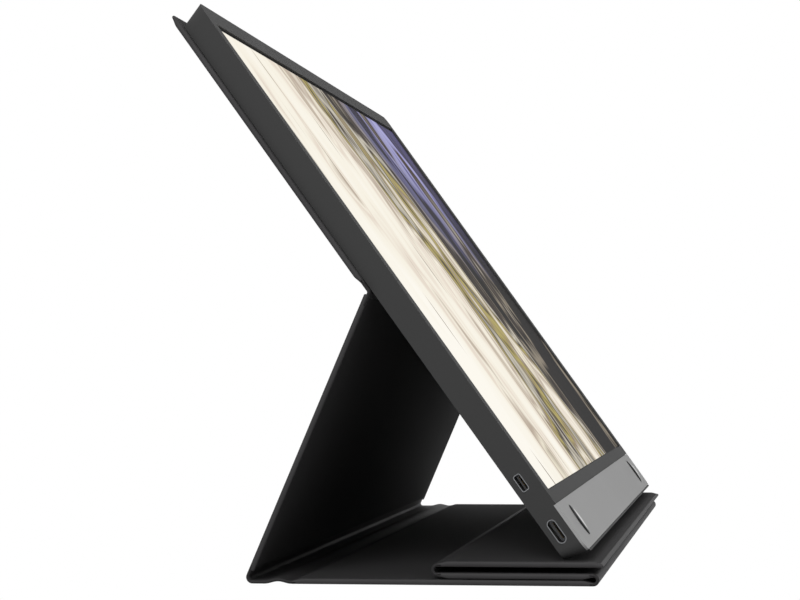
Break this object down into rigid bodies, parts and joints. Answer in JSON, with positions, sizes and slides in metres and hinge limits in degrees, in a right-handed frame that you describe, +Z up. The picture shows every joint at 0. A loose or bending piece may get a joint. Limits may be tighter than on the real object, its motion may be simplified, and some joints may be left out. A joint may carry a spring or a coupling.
{
  "type": "portable monitor with cover",
  "caption": "Slim portable monitor held by magnets on a folding leather cover that props it up as a desk stand; push buttons on a light trim plate, sockets in the left wall.",
  "frame": {"origin": "centre of the underside of the cover's base panel, on the table", "axes": "+X along the monitor's width, to the viewer's right as they face the screen; +Y away from the viewer; +Z up"},
  "size_m": [0.36, 0.1453, 0.1963],
  "materials": {
    "cover_leather": "fine-grained coated leather, nearly matt",
    "cover_lining": "close-napped microfibre lining",
    "stiff_board": "grey board, hidden inside each panel",
    "bare_steel": "plain sheet steel",
    "dark_housing": "satin dark grey",
    "trim_grey": "satin light grey",
    "display_glass": "anti-glare display face",
    "diffuser_film": "white diffuser film",
    "acrylic_guide": "clear light guide",
    "led_board": "white strip with small lamps",
    "black_foam": "soft closed foam",
    "circuit_board": "green board",
    "black_moulding": "black moulding",
    "flat_cable": "amber film"
  },
  "bodies": {
    "base": {"base_leather": "cover_leather", "base_board": "stiff_board", "base_lining": "cover_lining", "spine": "cover_leather", "front_fold": "cover_leather"},
    "leg": {"leg_leather": "cover_leather", "leg_board": "stiff_board", "leg_lining": "cover_lining"},
    "back_flap": {"flap_leather": "cover_leather", "flap_board": "stiff_board", "flap_lining": "cover_lining", "flap_plates": "bare_steel", "mid_fold": "cover_leather"},
    "monitor": {"front_frame": "dark_housing", "rear_cover": "dark_housing", "trim_plate": "trim_grey", "display_cell": "display_glass", "optical_sheets": "diffuser_film", "light_guide": "acrylic_guide", "led_strip": "led_board", "display_tray": "bare_steel", "tray_pads": "black_foam", "main_board": "circuit_board", "shield_can": "bare_steel", "board_chips": "black_moulding", "usb_shell": "bare_steel", "usb_tongue": "black_moulding", "hdmi_shell": "bare_steel", "hdmi_tongue": "black_moulding", "button_board": "circuit_board", "button_switches": "black_moulding", "button_cable": "flat_cable", "display_cable": "flat_cable", "holding_magnets": "bare_steel", "rear_screws": "bare_steel"},
    "menu_button": {"left_button": "trim_grey"},
    "power_button": {"right_button": "trim_grey"},
    "middle_panel": {"middle_leather": "cover_leather", "middle_board": "stiff_board", "middle_lining": "cover_lining", "rear_fold": "cover_leather"},
    "top_panel": {"top_leather": "cover_leather", "top_board": "stiff_board", "top_lining": "cover_lining"}
  },
  "joints": [
    {"name": "stand_fold", "type": "hinge", "parent": "base", "child": "leg", "pos_m": [0, 0.065, 0.0022], "axis": [-1, 0, 0], "range_deg": [0, 113], "deforming": ["spine"]},
    {"name": "back_fold", "type": "hinge", "parent": "leg", "child": "back_flap", "pos_m": [0, 0.02621, 0.0973], "axis": [1, 0, 0], "range_deg": [0, 59], "deforming": ["mid_fold"]},
    {"name": "front_fold_hinge", "type": "hinge", "parent": "base", "child": "middle_panel", "pos_m": [0, -0.04945, 0.00205], "axis": [1, 0, 0], "range_deg": [0, 106], "deforming": ["front_fold"]},
    {"name": "rear_fold_hinge", "type": "hinge", "parent": "middle_panel", "child": "top_panel", "pos_m": [0, 0.0023, 0.0051], "axis": [-1, 0, 0], "range_deg": [0, 46], "deforming": ["rear_fold"]},
    {"name": "screen_lift_off", "type": "slide", "parent": "back_flap", "child": "monitor", "axis": [0, -0.8141, 0.5807], "range_m": [0, 0.12]},
    {"name": "menu_press", "type": "slide", "parent": "monitor", "child": "menu_button", "axis": [0, 0.8141, -0.5807], "range_m": [0, 0.00035], "stiffness_N_per_m": 1500, "springref_m": -0.0003},
    {"name": "power_press", "type": "slide", "parent": "monitor", "child": "power_button", "axis": [0, 0.8141, -0.5807], "range_m": [0, 0.00035], "stiffness_N_per_m": 1500, "springref_m": -0.0003}
  ],
  "couplings": [
    {"joint": "back_fold", "follows": "stand_fold", "ratio": 0.52},
    {"joint": "front_fold_hinge", "follows": "stand_fold", "ratio": 0.93},
    {"joint": "rear_fold_hinge", "follows": "stand_fold", "ratio": 0.4}
  ]
}
